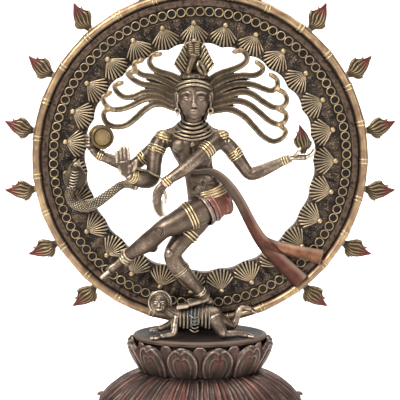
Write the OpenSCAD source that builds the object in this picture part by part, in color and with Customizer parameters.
// Cast statue of a dancer with four arms inside a ring of flames, on a double lotus base.
// Millimetres, +Z up. The origin is the middle of the underside and the front faces -Y.
// Right and left are the dancer's own: the dancer's right is -X.

/* [Base] */
// Width of the lower lotus, side to side
base_w = 114; // [100:1:137]
// Depth of the lower lotus, front to back
base_d = 76; // [66:1:92]
// Height of the lower lotus above the felt
lower_h = 26; // [22:0.5:32]
// Width of the waist between the two lotuses
neck_w = 60; // [50:1:66]
// Height of the upper lotus
upper_h = 19.4; // [16:0.2:24]
// Width of the deck plate
deck_w = 72; // [66:1:87]
// Thickness of the visible rim of the deck plate
deck_t = 1.6; // [1.2:0.1:2.4]
// Depth of the spigot under the deck plate
spigot_h = 4; // [3:0.5:6]
// Petals round each lotus
petal_count = 12; // [9:1:16]
// Thickness of a petal
petal_t = 4; // [3:0.2:5]
// Thickness of the felt
felt_t = 1; // [0.8:0.1:2]

/* [Ring] */
// Radius of the ring's opening
bore_r = 61.5; // [51:0.5:74]
// Width of the ring from its opening to the middle of the rim tube
ring_w = 26.9; // [22:0.1:32.5]
// Thickness of the ring
ring_t = 7.5; // [6:0.1:9]
// Distance of the ring's front face behind the middle of the base
ring_y = 7; // [6.5:0.1:8]
// Height of the ring's lowest point above the deck
ring_lift = 3.4; // [2.8:0.1:5]
// Radius of the rim tube
rim_r = 2.2; // [1.8:0.1:2.7]
// Double bands round the rim tube
band_count = 27; // [18:1:32]
// Small rings in the chain on the ring's face
circlet_count = 98; // [70:1:100]
// Outer diameter of one of them
circlet_d = 5; // [4:0.1:5.1]
// Distance of the chain from the ring's opening
circlet_in = 18.5; // [18:0.1:20]
// Shell-shaped fans round the opening
fan_count = 27; // [20:1:27]
// Length of a fan
fan_len = 11; // [9:0.1:11.4]
// Diameter of the bead at the root of a fan
fan_bead_d = 2.8; // [2.2:0.1:3.2]
// Width of the saddle under the ring
saddle_w = 34; // [28:1:40]
// Diameter of the two dowels through the saddle
dowel_d = 2; // [1.6:0.1:2.4]

/* [Flames] */
// Angle from one flame to the next
flame_pitch = 20.1; // [17:0.1:21]
// Height of a flame above its boss
flame_len = 16; // [13:0.1:19.5]
// Width of a flame
flame_w = 10.8; // [9:0.1:13]
// Height of the boss under a flame, above the rim tube
boss_h = 0.9; // [0.6:0.1:1.5]
// Radius of that boss
boss_r = 1.6; // [1.2:0.1:1.7]

/* [Dancer] */
// Height from the deck to the top of the crown
dancer_h = 159; // [132:1:191]
// Radius of an upper arm
upper_arm_r = 4.2; // [3.5:0.1:5]
// Radius of a forearm
forearm_r = 3.3; // [2.8:0.1:4]
// Radius of a wrist
wrist_r = 2.6; // [2.2:0.1:3]
// Radius of a thigh
thigh_r = 6.9; // [5.8:0.1:8.3]
// Radius of a knee
knee_r = 4.9; // [4.1:0.1:5.6]
// Radius of a calf
calf_r = 4.9; // [4.1:0.1:5.6]
// Radius of an ankle
ankle_r = 3.7; // [3.1:0.1:4.2]
// Radius of a lock of hair
lock_r = 2; // [1.7:0.1:2.4]
// Thickness of the waist cloth
cloth_t = 1.2; // [1:0.1:1.5]
// Width of the sash at its end
sash_w = 8.6; // [7:0.1:10]
// Thickness of the sash
sash_t = 1.8; // [1.5:0.1:2.2]
// Radius of the wire of the jewellery
wire_r = 0.7; // [0.6:0.05:0.85]
// Diameter of the drum's skin
drum_d = 11; // [9.2:0.1:13]
// Length of the drum
drum_len = 9; // [7.5:0.1:10.5]
// Width of the cobra's hood
hood_w = 13; // [11:0.1:15]

/* [Fits] */
// Clearance between pieces that slide together
fit = 0.1; // [0.05:0.05:0.3]

/* [Hidden] */
FLAME_COUNT = 15;
flame_names = [for (i = [1:FLAME_COUNT]) str("flame_", i < 10 ? "0" : "", i)];

BRONZE = "#6b4a2f";
GOLD = "#c8a04e";
COPPER = "#8a4a38";
DARK = "#3a2c24";

// Base levels and shape
base_ratio = base_d / base_w;
neck_z = felt_t + lower_h;
upper_top = neck_z + upper_h;
deck_top = upper_top + deck_t;
spigot_w = deck_w - 12;

// Ring places
rim_path = bore_r + ring_w;
ring_mid_y = ring_y + ring_t / 2;
ring_z = deck_top + ring_lift + rim_path + rim_r;
circlet_path = bore_r + circlet_in;
fan_root = bore_r + fan_len;
bead_path = fan_root + fan_bead_d / 2;
fan_phase = 10.7;
dowel_x = saddle_w / 4;
dowel_z0 = upper_top - spigot_h + 1;
dowel_z1 = ring_z - rim_path + rim_r + 6;
flame_root = rim_path + rim_r + boss_h;

// The dancer is drawn above a deck at zero, for a crown top at pose_h, and then scaled by k
pose_h = 159;
k = dancer_h / pose_h;
function at(x, y, z, r = 1) = [x, y, z, r];

// Sizes that don't follow the dancer's height, in the scale of the drawing
arm_r = upper_arm_r / k;
fore_r = forearm_r / k;
hand_r = wrist_r / k;
leg_r = thigh_r / k;
knee = knee_r / k;
calf = calf_r / k;
ankle = ankle_r / k;
hair_r = lock_r / k;
cloth = cloth_t / k;
ribbon_w = sash_w / k;
ribbon_t = sash_t / k;
wire = wire_r / k;
skin_d = drum_d / k;
drum_h = drum_len / k;
hood = hood_w / k;
gap = fit / k;
function xyz(p) = [p.x, p.y, p.z];

// Joints of the pose, from the trunk outwards: [x, y, height above the deck, radius]
arm_fr = [at(-18.5, -5, 107, arm_r + 0.3), at(-22.8, -6, 103, arm_r + 0.2),
          at(-24, -8, 93, arm_r), at(-24.4, -9, 85.5, fore_r + 0.3),
          at(-30, -14, 85.4, fore_r), at(-36.1, -19, 87, hand_r), at(-37.6, -20.5, 89.5, hand_r)];
arm_rr = [at(-17, -2.5, 106, arm_r + 0.2), at(-22.5, -1.5, 102.5, arm_r),
          at(-30, -1.2, 96, arm_r - 0.3), at(-37, -1, 91, fore_r + 0.2),
          at(-46, -1, 94.2, fore_r), at(-55, -1, 97.8, hand_r), at(-58.1, -1.2, 101.9, hand_r)];
arm_fl = [at(9, -5, 107, arm_r + 0.3), at(8, -10, 104.5, arm_r),
          at(3, -15, 101, arm_r - 0.2), at(-2.6, -17.5, 96.3, fore_r + 0.4),
          at(-10, -19.5, 90.5, fore_r), at(-17.8, -20, 85, hand_r), at(-21.8, -20, 80.5, hand_r)];
arm_rl = [at(9, -2.5, 106, arm_r + 0.2), at(14.5, -1.5, 103, arm_r),
          at(20.4, -1.5, 95.5, arm_r - 0.3), at(27.9, -1.5, 87, fore_r + 0.2),
          at(37, -1.5, 90.8, fore_r), at(45.4, -1.5, 94.6, hand_r), at(49, -1.5, 95.8, hand_r)];
leg_up = [at(7, -6.5, 71.5, leg_r), at(1, -10, 69, leg_r + 0.3), at(-6, -13, 66, leg_r),
          at(-18.4, -16, 61.3, knee), at(-24.5, -15, 56, calf), at(-31, -12.5, 50, calf - 0.4),
          at(-37.9, -9, 44.9, ankle), at(-40.6, -6.5, 40.8, ankle - 0.2)];
leg_down = [at(3, -3.5, 69, leg_r), at(-2, -5, 62, leg_r - 0.2), at(-8.5, -8, 54, leg_r - 1),
            at(-14.4, -10.5, 46, knee), at(-12, -9.5, 39.5, calf), at(-6.5, -8, 31.5, calf - 0.4),
            at(0, -6, 23.6, ankle), at(3.2, -4.8, 20, ankle - 0.4)];

// Locks of hair, from the head out to the curl at the tip
locks_left = [
  [[6, -3, 135.5], [12, -2, 141], [22.5, -1.5, 145.5], [26, -0.5, 150], [23, 0, 153], [19.5, 0.5, 152.5]],
  [[7, -3, 133], [17, -2, 138.5], [29, -1, 139], [34.5, 0, 141.5], [33, 0.5, 145.5]],
  [[7.5, -3, 130.5], [17, -2, 134.5], [27, -1.5, 135], [36.5, -0.5, 131.5], [41.5, 0, 134], [40.5, 0.5, 138]],
  [[7.5, -3, 127.5], [17, -2.5, 130.5], [27, -1.5, 130], [35, -1, 125.5], [42.5, -0.5, 122], [47, 0, 126],
   [45, 0.5, 130]],
  [[7, -3, 125], [17.5, -2.5, 126.5], [25.5, -1.5, 125], [34, -1, 118.5], [42, -0.5, 113.5], [46.5, 0, 116.5],
   [46, 0.5, 119.5]],
  [[6, -3, 121], [17, -2.5, 122.5], [25, -1.5, 117], [31.5, -1, 109.5], [39, -0.5, 104.5], [45, 0, 106.5],
   [44.5, 0.5, 110.5]]];
locks_right = [
  [[-11.5, -3, 136], [-19, -2, 141.5], [-25, -1, 145], [-27, 0, 149], [-24, 0.5, 151]],
  [[-12, -3, 133], [-18, -2, 138], [-28, -1, 140], [-34.5, 0, 142.5], [-33, 0.5, 146]],
  [[-12.5, -3, 130.5], [-20, -2, 133.5], [-29.5, -1, 135.5], [-37.5, 0, 138], [-38, 0.5, 141.5]],
  [[-12, -3, 128], [-21.5, -2, 130], [-31.5, -1.5, 129.5], [-40, -0.5, 127.5], [-44.5, 0, 131.5],
   [-44, 0.5, 135]],
  [[-12, -3, 126], [-25, -2.5, 127], [-33, -1.5, 124.5], [-41, -1, 121.5], [-48, -0.5, 122.5], [-50.5, 0, 126],
   [-48.5, 0.5, 129]],
  [[-11.5, -3, 122.5], [-21.5, -2.5, 124.5], [-30.5, -1.5, 121], [-38.5, -1, 115], [-45.5, -0.5, 113.5],
   [-50, 0, 117], [-48, 0.5, 121]]];

// ---------- Building blocks ----------

module ball(p, fn = 10) {
  translate(xyz(p)) sphere(r = p[3], $fn = fn);
}

// Limb: hulled balls through a list of [x, y, z, radius]
module chain(pts, fn = 10) {
  for (i = [1:len(pts) - 1]) hull() {
    ball(pts[i - 1], fn);
    ball(pts[i], fn);
  }
}

// Egg of half sizes s at p
module egg(p, s, fn = 14) {
  translate(xyz(p)) scale(s) sphere(r = 1, $fn = fn);
}

// Closed loop of wire on an ellipse of half sizes a and b, tipped sideways and forwards
module wire_loop(p, a, b, r, n = 16, side_tip = 0, front_tip = 0) {
  ring_pts = [for (i = [0:n]) [a * cos(i * 360 / n), b * sin(i * 360 / n), 0, r]];
  translate(xyz(p)) rotate([front_tip, side_tip, 0]) chain(ring_pts, 6);
}

// Ring round a limb between two of its joints, at share t of the way
module limb_ring(a, b, t, wire) {
  d = xyz(b) - xyz(a);
  r = a[3] + (b[3] - a[3]) * t;
  translate(xyz(a) + d * t) rotate([0, acos(d.z / norm(d)), atan2(d.y, d.x)])
    rotate_extrude($fn = 48) translate([r + wire + gap, 0]) circle(r = wire, $fn = 24);
}

// Flat ribbon through [x, y, z, width], lying in planes square to Y
module ribbon(pts, t) {
  n = len(pts) - 1;
  for (i = [1:n]) hull() {
    ribbon_slat(pts, i - 1, t);
    ribbon_slat(pts, i, t);
  }
}

module ribbon_slat(pts, i, t) {
  a = pts[max(i - 1, 0)];
  b = pts[min(i + 1, len(pts) - 1)];
  translate(xyz(pts[i])) rotate([0, -atan2(b.z - a.z, b.x - a.x), 0]) cube([0.2, t, pts[i][3]], center = true);
}

// Closed skin over rings of points, each ring with the same number of points
module loft(rings) {
  n = len(rings[0]);
  m = len(rings);
  pts = [for (ring = rings) each ring];
  sides = [for (j = [0:m - 2]) for (i = [0:n - 1])
    each let (a = j * n + i, b = j * n + (i + 1) % n) [[a, a + n, b + n], [a, b + n, b]]];
  ends = [[for (i = [0:n - 1]) i], [for (i = [0:n - 1]) m * n - 1 - i]];
  polyhedron(points = pts, faces = concat(sides, ends), convexity = 6);
}

// ---------- Base ----------

module oval(w, h) {
  sides = 96;
  linear_extrude(h) polygon([for (i = [0:sides - 1])
    [cos(i * 360 / sides), base_ratio * sin(i * 360 / sides)] * w / 2]);
}

// Point on the oval of half width r, at angle a and height z, with a ball of radius b
function on_oval(r, a, z, b) = [r * cos(a), r * base_ratio * sin(a), z, b];

// A petal is hulled between pairs of balls at stations [radius, half angle, height]
module petal(a, stations) {
  for (i = [1:len(stations) - 1]) hull() {
    for (s = [stations[i - 1], stations[i]]) for (side = [-1, 1])
      ball(on_oval(s[0], a + side * s[1], s[2], petal_t / 2), 6);
  }
}

module petals(stations) {
  for (i = [0:petal_count - 1]) petal((i + 0.5) * 360 / petal_count, stations);
}

module felt_pad() {
  color(DARK) oval(base_w - 3, felt_t);
}

module lower_lotus() {
  r = base_w / 2;
  spread = 0.3 * 360 / petal_count;
  color(COPPER) difference() {
    union() {
      scale([1, base_ratio, 1]) rotate_extrude($fn = 48)
        polygon([[0, felt_t], [r, felt_t], [r, felt_t + 3], [r - 6, felt_t + 5],
                 [r - 4, felt_t + lower_h * 0.42], [r - 13, felt_t + lower_h * 0.75],
                 [neck_w / 2, neck_z], [0, neck_z]]);
      petals([[neck_w / 2 + 2, spread * 0.7, neck_z - petal_t / 2 - 0.4],
              [r - 12, spread, felt_t + lower_h * 0.7],
              [r - petal_t / 2 - 1, spread * 0.6, felt_t + lower_h * 0.44]]);
    }
    translate([-base_w, -base_w, neck_z]) cube([2 * base_w, 2 * base_w, upper_h]);
  }
}

module upper_lotus() {
  r = deck_w / 2;
  spread = 0.3 * 360 / petal_count;
  color(COPPER) difference() {
    union() {
      scale([1, base_ratio, 1]) rotate_extrude($fn = 48)
        polygon([[0, neck_z], [neck_w / 2 - 1, neck_z], [neck_w / 2 + 1, neck_z + upper_h * 0.15],
                 [r - 1.5, neck_z + upper_h * 0.7], [r - 1, upper_top], [0, upper_top]]);
      petals([[neck_w / 2 + 0.5, spread * 0.7, neck_z + petal_t / 2 + 0.2],
              [r, spread, neck_z + upper_h * 0.55],
              [r + 1.6, spread * 0.7, neck_z + upper_h * 0.78]]);
    }
    translate([0, 0, upper_top - spigot_h - fit]) oval(spigot_w + 2 * fit, spigot_h + 1);
  }
}

module dowel_places() {
  for (side = [-1, 1]) translate([side * dowel_x, ring_mid_y, 0]) children();
}

module dowel_holes() {
  dowel_places() translate([0, 0, dowel_z0])
    cylinder(d = dowel_d + 2 * fit, h = dowel_z1 - dowel_z0 + fit, $fn = 32);
}

module deck_plate() {
  color(BRONZE) difference() {
    union() {
      translate([0, 0, upper_top]) oval(deck_w, deck_t);
      translate([0, 0, upper_top - spigot_h]) oval(spigot_w, spigot_h + deck_t / 2);
    }
    dowel_holes();
  }
}

// ---------- Ring ----------

// Puts a shape drawn round Z on the ring, with its front towards -Y
module on_ring(y = ring_y) {
  translate([0, y, ring_z]) rotate([90, 0, 0]) children();
}

// Turns a shape to angle a, clockwise from the top as seen from the front
module round_ring(a) {
  rotate(90 - a) children();
}

module rim_circle() {
  translate([rim_path, -ring_t / 2]) circle(r = rim_r, $fn = 48);
}

module ring_support() {
  color(DARK) difference() {
    translate([-saddle_w / 2, ring_y, deck_top])
      cube([saddle_w, ring_t, ring_lift + rim_r]);
    on_ring(ring_y + ring_t + 1) cylinder(r = rim_path, h = ring_t + 2, $fn = 180);
    on_ring() rotate_extrude($fn = 180) rim_circle();
    dowel_holes();
  }
}

module ring_pins() {
  color("silver") dowel_places() translate([0, 0, dowel_z0]) cylinder(d = dowel_d, h = dowel_z1 - dowel_z0, $fn = 32);
}

module ring_disc() {
  color(DARK) difference() {
    on_ring() rotate_extrude($fn = 180) difference() {
      translate([bore_r, -ring_t]) square([ring_w, ring_t]);
      rim_circle();
    }
    dowel_holes();
  }
}

module rim_tube() {
  color(BRONZE) difference() {
    union() {
      on_ring() rotate_extrude($fn = 180) rim_circle();
      for (a = flame_angles) on_ring(ring_mid_y) round_ring(a) translate([rim_path, 0, 0]) rotate([0, 90, 0])
        cylinder(r = boss_r, h = rim_r + boss_h, $fn = 32);
    }
    dowel_holes();
  }
}

// Pairs of narrow bands stand round the tube, on its open outer side
module rim_bands() {
  color(GOLD) for (i = [0:band_count - 1]) for (side = [-1, 1])
    on_ring() round_ring(fan_phase + i * 360 / band_count + side * 0.75)
      translate([rim_path, 0, -ring_t / 2]) rotate([90, 0, 0]) translate([0, 0, -0.4])
        rotate(-90) rotate_extrude(angle = 180, $fn = 48) translate([rim_r + 0.05, 0]) square([0.5, 0.8]);
}

module circlet_chain() {
  color(GOLD) for (i = [0:circlet_count - 1])
    on_ring() round_ring(i * 360 / circlet_count) translate([circlet_path, 0, 0])
      rotate_extrude($fn = 32) translate([circlet_d / 2 - 0.5, 0]) square([0.45, 0.7]);
}

// Outline of a fan: rays from its root, with a notch between each pair of rays
module fan_outline() {
  rays = 11;
  half_spread = 42;
  points = [for (i = [0:2 * rays - 2])
    let (a = -half_spread + i * half_spread / (rays - 1), r = i % 2 == 0 ? fan_len : fan_len - 1.6)
    [-r * cos(a), r * sin(a) * 0.86]];
  polygon(concat([[-1, 0.8]], [[-1, -0.8]], points));
}

module fan_shells() {
  color(GOLD) for (i = [0:fan_count - 1])
    on_ring() round_ring(fan_phase + i * 360 / fan_count) translate([fan_root, 0, 0])
      linear_extrude(1) fan_outline();
}

module fan_beads() {
  color(GOLD) for (i = [0:fan_count - 1])
    on_ring() round_ring(fan_phase + i * 360 / fan_count) translate([bead_path, 0, 0])
      rotate_extrude($fn = 24) intersection() {
        circle(d = fan_bead_d, $fn = 24);
        square(fan_bead_d);
      }
}

// ---------- Flames ----------

flame_angles = [for (i = [0:FLAME_COUNT - 1]) (i - (FLAME_COUNT - 1) / 2) * flame_pitch];

// Half width of a flame at share t of its height, full near a third and drawn out to the tip
function flame_half(t) = flame_w / 2 * (t < 0.35 ? 0.26 + 0.74 * sin(90 * t / 0.35) : pow(cos(90 * (t - 0.35) / 0.66), 1.3));
// The flame leans one way and back again
function flame_lean(t) = 0.9 * sin(360 * t) * (1 - t);

module flame_shape() {
  sides = 8;
  stations = [0, 0.12, 0.24, 0.38, 0.56, 0.74, 0.9, 1];
  loft([for (t = stations) [for (j = [0:sides - 1]) let (a = j * 360 / sides, r = flame_half(t))
    [flame_lean(t) + r * cos(a), r * 0.62 * sin(a), t * flame_len]]]);
}

module flame(i) {
  color(GOLD) on_ring(ring_mid_y) round_ring(flame_angles[i]) translate([flame_root, 0, 0])
    rotate([0, 90, 0]) rotate(90) flame_shape();
}

// ---------- Dwarf under the foot ----------

// Sets what is drawn for the dancer on the deck, at the dancer's size
module posed() {
  translate([0, 0, deck_top]) scale(k) children();
}

module dwarf_shape() {
  chain([at(-13, -8, 10, 4.6), at(-4, -8, 10.4, 5.2), at(6.4, -8, 10.6, 5.4)]);
  chain([at(-12, -11, 10, 3), at(-14.4, -14.5, 3.4, 2.6), at(-21, -16, 2, 1.8), at(-27, -16.5, 1.5, 1.5)], 8);
  chain([at(-13, -5, 9, 3), at(-18.5, -1, 4, 2.4), at(-26.5, -1, 2, 1.6)], 8);
  chain([at(7.5, -10, 9.5, 4), at(12.3, -14, 4, 3.2), at(20, -13.5, 3, 2), at(27, -12.5, 2, 1.5)], 8);
  chain([at(8, -6, 10, 4), at(17.9, -2, 6.3, 3), at(24, -0.5, 9.5, 2), at(29.5, 0, 12, 1.5)], 8);
}

module below_deck() {
  translate([-base_w, -base_w, -base_w]) cube([2 * base_w, 2 * base_w, base_w]);
}

module dwarf_body() {
  color(BRONZE) posed() difference() {
    dwarf_shape();
    leg_down_shape();
    below_deck();
  }
}

module dwarf_head_shape() {
  hull() {
    ball(at(-22.5, -9, 18.4, 5));
    ball(at(-21, -7, 17.5, 4.6));
  }
  hull() {
    egg(at(-21.5, -6.5, 18.6), [6.6, 2.2, 6.6], 12);
    ball(at(-17, -7, 14, 3.4), 8);
  }
}

module dwarf_head() {
  color(BRONZE) posed() difference() {
    dwarf_head_shape();
    dwarf_shape();
  }
}

// ---------- Dancer's body ----------

pelvis = at(4.3, -4, 72);
chest = at(-4.3, -5, 104);
head_mid = at(-3.2, -5.2, 130);

module torso_shape() {
  waist = [[pelvis, [11, 7.6, 7]], [at(1, -5, 82), [9.2, 7.2, 6]], [at(-1, -5, 90), [8, 6.6, 5]],
           [at(-3, -5, 98), [10, 7.2, 6]], [chest, [12.4, 7.4, 5.6]]];
  for (i = [1:len(waist) - 1]) hull() {
    egg(waist[i - 1][0], waist[i - 1][1]);
    egg(waist[i][0], waist[i][1]);
  }
  for (end = [at(-17.5, -4.6, 107.2, 4.6), at(9, -4.6, 107.2, 4.6)]) hull() {
    egg(chest, [9, 6, 5]);
    ball(end);
  }
  chain([at(-4, -5.4, 108, 5.6), at(-3.6, -5.6, 112, 4.6), at(-3.2, -6, 118, 4.4)]);
}

module torso() {
  color(BRONZE) posed() torso_shape();
}

module head_shape() {
  c = head_mid;
  hull() {
    egg(c + [0, 0, 1, 0], [7.8, 8.8, 8.4]);
    ball(c + [0, -4.6, -8.2, 3.6]);
    ball(c + [0, -6.4, -10.8, 1.4]);
  }
  hull() {
    egg(c + [0, 1.4, 3, 0], [9.4, 8.2, 7]);
    egg(c + [0, 3.4, -5, 0], [7.4, 5, 5]);
  }
  hull() {
    ball(c + [0, -8.4, 0.6, -0.1], 8);
    ball(c + [0, -10, -3.4, 0.3], 8);
  }
  for (side = [-1, 1]) {
    hull() {
      ball(c + [side * 8.4, -0.6, 0.4, 0.4], 8);
      ball(c + [side * 8.2, -0.4, -5.4, 0.2], 8);
    }
    hull() {
      ball(c + [side * 1.6, -8.4, 0.4, -0.1], 8);
      ball(c + [side * 4.2, -7.6, 0.4, -0.1], 8);
    }
  }
  hull() for (side = [-1, 1]) ball(c + [side * 1.3, -8.9, -6, -0.2], 8);
}

module head() {
  color(BRONZE) posed() difference() {
    head_shape();
    torso_shape();
  }
}

module crown_shape() {
  hull() {
    egg(at(-3.2, -5, 139), [8.2, 7.6, 2.6], 12);
    egg(at(-3.2, -5, 142.5), [7.4, 6, 2.4], 12);
  }
  for (i = [-3:3]) hull() {
    ball(at(-3.1 + 1.7 * i, -5, 143, 2.1), 8);
    ball(at(-3 + 3.1 * i, -5, 154.5 - 1.3 * abs(i), 1.8), 8);
  }
  chain([at(-3, -8, 141, 2.6), at(-2.9, -8.6, 149, 3.2), at(-2.9, -7, 155.8, 3.2)], 10);
}

module crown() {
  color(BRONZE) posed() difference() {
    crown_shape();
    head_shape();
  }
}

module headband_shape() {
  wire_loop(at(-3.2, -5, 137.6), 8.6, 8.6, 0.9);
}

module headband() {
  color(GOLD) posed() difference() {
    headband_shape();
    head_shape();
    crown_shape();
  }
}

// A row of locks; each one thins towards its tip
module locks(rows) {
  for (row = rows) {
    n = len(row) - 1;
    chain([for (i = [0:n]) at(row[i].x, row[i].y, row[i].z, hair_r * (1.1 - 0.4 * i / n))], 6);
  }
}

module hair(rows) {
  color(DARK) posed() difference() {
    locks(rows);
    head_shape();
    crown_shape();
    headband_shape();
  }
}

module hair_right() {
  hair(locks_right);
}

module hair_left() {
  hair(locks_left);
}

// ---------- Limbs ----------

// Four fingers and a thumb; each is a list of points
module fingers(rows, r) {
  for (row = rows) chain([for (p = row) at(p.x, p.y, p.z, r)], 6);
}

module arm_fr_shape() {
  chain(arm_fr);
  hull() for (p = [[-36.6, 89], [-41, 90], [-36.8, 96], [-42.8, 96]]) ball(at(p.x, -20.8, p.y, 1.7), 8);
  fingers([for (i = [0:3]) [[-37 - 1.9 * i, -21, 95.5], [-37.2 - 2.05 * i, -21.6, 104 - abs(i - 1.3)]]], 1.15);
  fingers([[[-36.6, -20.5, 90], [-33.4, -22, 93], [-33, -22.6, 96.6]]], 1.2);
}

module arm_rr_shape() {
  chain(arm_rr);
  fingers([for (i = [0:3]) [[-58.6, -2, 102.5 + 1.4 * i], [-59.6, -6, 104.2 + 1.5 * i], [-57.4, -9.2, 104.8 + 1.5 * i]]], 1.1);
  fingers([[[-56.5, -1, 103], [-52.4, 0.2, 101.4], [-48, -2.5, 101.8]]], 1.1);
}

module arm_fl_shape() {
  chain(arm_fl);
  hull() for (p = [[-20.5, 80.5], [-24.4, 80], [-19.4, 75.4], [-24.2, 75.4]]) ball(at(p.x, -20, p.y, 1.6), 8);
  fingers([for (i = [0:3]) [[-23.8 + 1.5 * i, -19.8, 75.5], [-22.6 + 1.3 * i, -18.6, 68.6 + abs(i - 1.6)]]], 1);
  fingers([[[-19.6, -20.4, 80], [-17, -21, 76.6], [-17, -20.8, 73.6]]], 1.1);
}

module arm_rl_shape() {
  chain(arm_rl);
  hull() for (p = [[49.5, -3.6], [49.5, 0.2], [56.5, -4.2], [56.5, 0.8]]) ball(at(p.x, p.y, 96.4, 1.6), 8);
  fingers([for (i = [0:3]) [[56, -4.4 + 1.8 * i, 96.6], [60.6, -4.6 + 1.9 * i, 98.6]]], 1.1);
  fingers([[[51, -4, 97], [52.4, -6.4, 99.6], [55.4, -6.8, 101]]], 1.1);
}

module leg_up_shape() {
  chain(leg_up);
  hull() {
    ball(leg_up[7]);
    ball(at(-47, -6.8, 36.6, 2.6), 8);
    ball(at(-46, -4.6, 35.6, 2.2), 8);
  }
  fingers([for (i = [0:4]) [[-47, -8.6 + 1.1 * i, 36.2], [-53.4 + 0.5 * i, -9 + 1.3 * i, 32.8]]], 1.2);
}

module leg_down_shape() {
  chain(leg_down);
  hull() {
    ball(at(3.6, -4.4, 18.9, 2.8));
    ball(leg_down[6]);
    ball(at(-6.4, -9.2, 17.8, 2.2), 8);
    ball(at(-4.8, -11, 17.8, 1.8), 8);
  }
  fingers([for (i = [0:4]) [[-5.8 + 0.4 * i, -8.8 - 0.9 * i, 17.2], [-12 + 0.8 * i, -10.6 - 1.1 * i, 17]]], 1.15);
}

module arm_front_right() {
  color(BRONZE) posed() difference() {
    arm_fr_shape();
    torso_shape();
  }
}

module arm_rear_right() {
  color(BRONZE) posed() difference() {
    arm_rr_shape();
    torso_shape();
    arm_fr_shape();
    drum_shape();
  }
}

module arm_front_left() {
  color(BRONZE) posed() difference() {
    arm_fl_shape();
    torso_shape();
  }
}

module arm_rear_left() {
  color(BRONZE) posed() difference() {
    arm_rl_shape();
    torso_shape();
    arm_fl_shape();
  }
}

module leg_raised() {
  color(BRONZE) posed() difference() {
    leg_up_shape();
    torso_shape();
  }
}

module leg_standing() {
  color(BRONZE) posed() difference() {
    leg_down_shape();
    torso_shape();
    leg_up_shape();
  }
}

// ---------- Dress ----------

// Cloth over the hips and the tops of both thighs
module cloth_shape() {
  t = cloth;
  hull() {
    egg(pelvis, [11 + t, 7.6 + t, 7 + t]);
    egg(at(1.8, -4.8, 79.6), [9.6 + t, 7.3 + t, 4 + t]);
  }
  for (leg = [leg_up, leg_down]) chain([for (i = [0:1]) leg[i] + [0, 0, 0, t]], 12);
}

module waist_cloth() {
  color(COPPER) posed() difference() {
    cloth_shape();
    torso_shape();
    leg_up_shape();
    leg_down_shape();
  }
}

module belt_shape() {
  wire_loop(at(2, -4.8, 81), 10.6, 8.2, 1.3, 16, -14);
}

module belt() {
  color(GOLD) posed() difference() {
    belt_shape();
    torso_shape();
    cloth_shape();
    leg_up_shape();
  }
}

// The sash leaves the waist, drops past the hip and flies out over the ring in two tails
module sash() {
  color(COPPER) posed() difference() {
    union() {
      ribbon([at(7, -12, 93, 5), at(11.5, -11, 87.6, 5.4), at(18, -9.6, 80.3, 5.8), at(24.6, -9, 68.6, 6),
              at(30, -7, 56.2, 6.4), at(37, -3, 45.6, 7), at(46, 1.6, 35.8, 8), at(55.3, 4.6, 27.2, ribbon_w)], ribbon_t);
      ribbon([at(33, -4.4, 54, 5), at(41.6, -0.4, 47.6, 6), at(53.6, 3, 43.2, 6.6), at(66, 4.6, 40.4, 7)], ribbon_t);
    }
    torso_shape();
    cloth_shape();
    arm_fl_shape();
    belt_shape();
  }
}

// ---------- Jewellery ----------

// Three cords lie side by side as one broad collar
module collar_shape() {
  for (i = [0:2])
    wire_loop(at(-3.4, -6 - 0.3 * i, 114 - 1.8 * i), 5.6 + 2 * i, 5.4 + 1.2 * i, 1.5, 14, 0, 8 + 8 * i);
}

module necklaces() {
  color(GOLD) posed() difference() {
    collar_shape();
    torso_shape();
    head_shape();
  }
}

module shoulder_caps() {
  color(GOLD) posed() difference() {
    for (p = [at(-19.4, -6, 109.4, 4.2), at(10.2, -6, 109.4, 4.2)]) chain([p, p + [0, -0.6, -1.6, -0.6]]);
    arm_fr_shape();
    arm_fl_shape();
    arm_rr_shape();
    arm_rl_shape();
    torso_shape();
    collar_shape();
  }
}

module armlets() {
  color(GOLD) posed() for (arm = [arm_fr, arm_rr, arm_fl, arm_rl]) {
    limb_ring(arm[1], arm[2], 0.55, wire);
    limb_ring(arm[1], arm[2], 0.8, wire * 0.8);
  }
}

module bracelets() {
  color(GOLD) posed() for (arm = [arm_fr, arm_rr, arm_fl, arm_rl]) for (t = [0.72, 0.92])
    limb_ring(arm[4], arm[5], t, wire);
}

module thigh_bands() {
  color(GOLD) posed() {
    for (t = [0.24, 0.38, 0.52]) limb_ring(leg_up[2], leg_up[3], t, wire);
    for (t = [0.42, 0.66]) limb_ring(leg_down[2], leg_down[3], t, wire);
  }
}

module anklets() {
  color(GOLD) posed() {
    for (t = [0.8, 1]) limb_ring(leg_up[5], leg_up[6], t, wire);
    limb_ring(leg_down[5], leg_down[6], 0.8, wire);
  }
}

module earrings() {
  color(GOLD) posed() for (side = [-1, 1]) translate(xyz(head_mid) + [side * 9.6, -0.4, -9.6]) rotate([90, 0, 0])
    rotate_extrude($fn = 32) translate([2, 0]) circle(r = 0.8, $fn = 20);
}

// ---------- What the hands hold ----------

drum_mid = at(-52.5, -4, 107.4);

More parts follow.
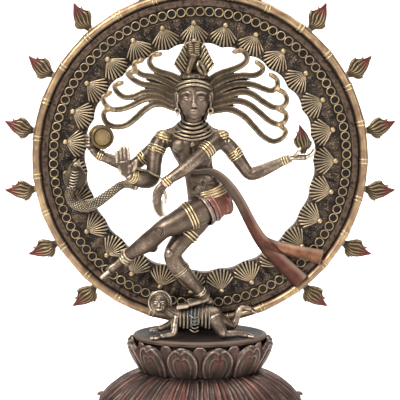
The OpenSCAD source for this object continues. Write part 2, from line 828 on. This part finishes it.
// Two cones meet at the drum's waist, with a rim at each skin
module drum_shape() {
  half = drum_h / 2;
  translate(xyz(drum_mid)) rotate([90, 0, 14]) {
    for (end = [0, 1]) mirror([0, 0, end]) {
      cylinder(d1 = skin_d * 0.6, d2 = skin_d, h = half - 1.2, $fn = 48);
      translate([0, 0, half - 1.2]) cylinder(d = skin_d + 1.4, h = 1.2, $fn = 48);
    }
  }
}

module drum() {
  color(GOLD) posed() drum_shape();
}

module hand_flame() {
  color(GOLD) posed() difference() {
    for (side = [-1, 0, 1]) chain([at(54.5 + side, -1.5, 99, 2.6), at(54.6 + 2.4 * side, -1.5, 102.6, 2.5),
                                   at(55 + 2.2 * side, -1.5, 107 - abs(side), 1.5),
                                   at(55.4 + 1.6 * side, -1.5, 112.6 - 3 * abs(side), 0.5)], 8);
    arm_rl_shape();
  }
}

module cobra() {
  color(DARK) posed() difference() {
    union() {
      chain([at(-33, -17, 81.4, 1.5), at(-41.1, -12, 84, 1.9), at(-48.8, -8.5, 78, 2.3),
             at(-56.1, -4.5, 72, 2.6), at(-63.3, -1, 70.3, 2.8), at(-69, 0, 74, 2.6), at(-68.6, 0.4, 80, 2.2)], 8);
      hull() {
        egg(at(-66.6, 0.6, 84), [hood / 2, 1.8, 5.4], 12);
        ball(at(-66.4, -0.4, 91, 1.8), 8);
      }
      hull() {
        ball(at(-66.3, 0, 91.6, 2), 8);
        ball(at(-66.2, -3.4, 92.6, 1.3), 8);
      }
    }
    arm_fr_shape();
  }
}

felt_pad();
lower_lotus();
upper_lotus();
deck_plate();
ring_support();
ring_pins();
ring_disc();
rim_tube();
rim_bands();
circlet_chain();
fan_shells();
fan_beads();
for (i = [0:FLAME_COUNT - 1]) flame(i);
dwarf_body();
dwarf_head();
torso();
head();
crown();
headband();
hair_right();
hair_left();
arm_front_right();
arm_rear_right();
arm_front_left();
arm_rear_left();
leg_raised();
leg_standing();
waist_cloth();
belt();
sash();
necklaces();
shoulder_caps();
armlets();
bracelets();
thigh_bands();
anklets();
earrings();
drum();
hand_flame();
cobra();
